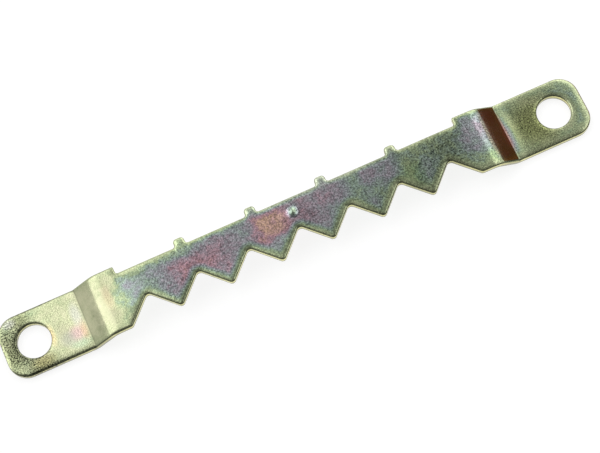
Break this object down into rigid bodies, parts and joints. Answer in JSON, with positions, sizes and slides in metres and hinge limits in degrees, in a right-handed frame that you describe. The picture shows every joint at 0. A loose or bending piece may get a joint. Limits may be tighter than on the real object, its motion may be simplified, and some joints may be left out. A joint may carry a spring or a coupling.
{
  "type": "sawtooth picture hanger",
  "caption": "Pressed steel strip with a flat screw tab at each end, a raised bar between them whose lower edge is cut into teeth, and small nubs along its upper edge.",
  "frame": {"origin": "midway between the two screw holes, on the plane where the tabs lie on the picture frame", "axes": "+X along the strip, +Y up the wall when hung, with the teeth pointing to -Y, +Z out of the frame's back, towards the raised bar's face"},
  "size_m": [0.0762, 0.0078, 0.0033],
  "materials": {
    "zinc_chromate_steel": "zinc plate with an iridescent yellow chromate, satin"
  },
  "bodies": {
    "root": {"hanger_strip": "zinc_chromate_steel"}
  },
  "joints": []
}
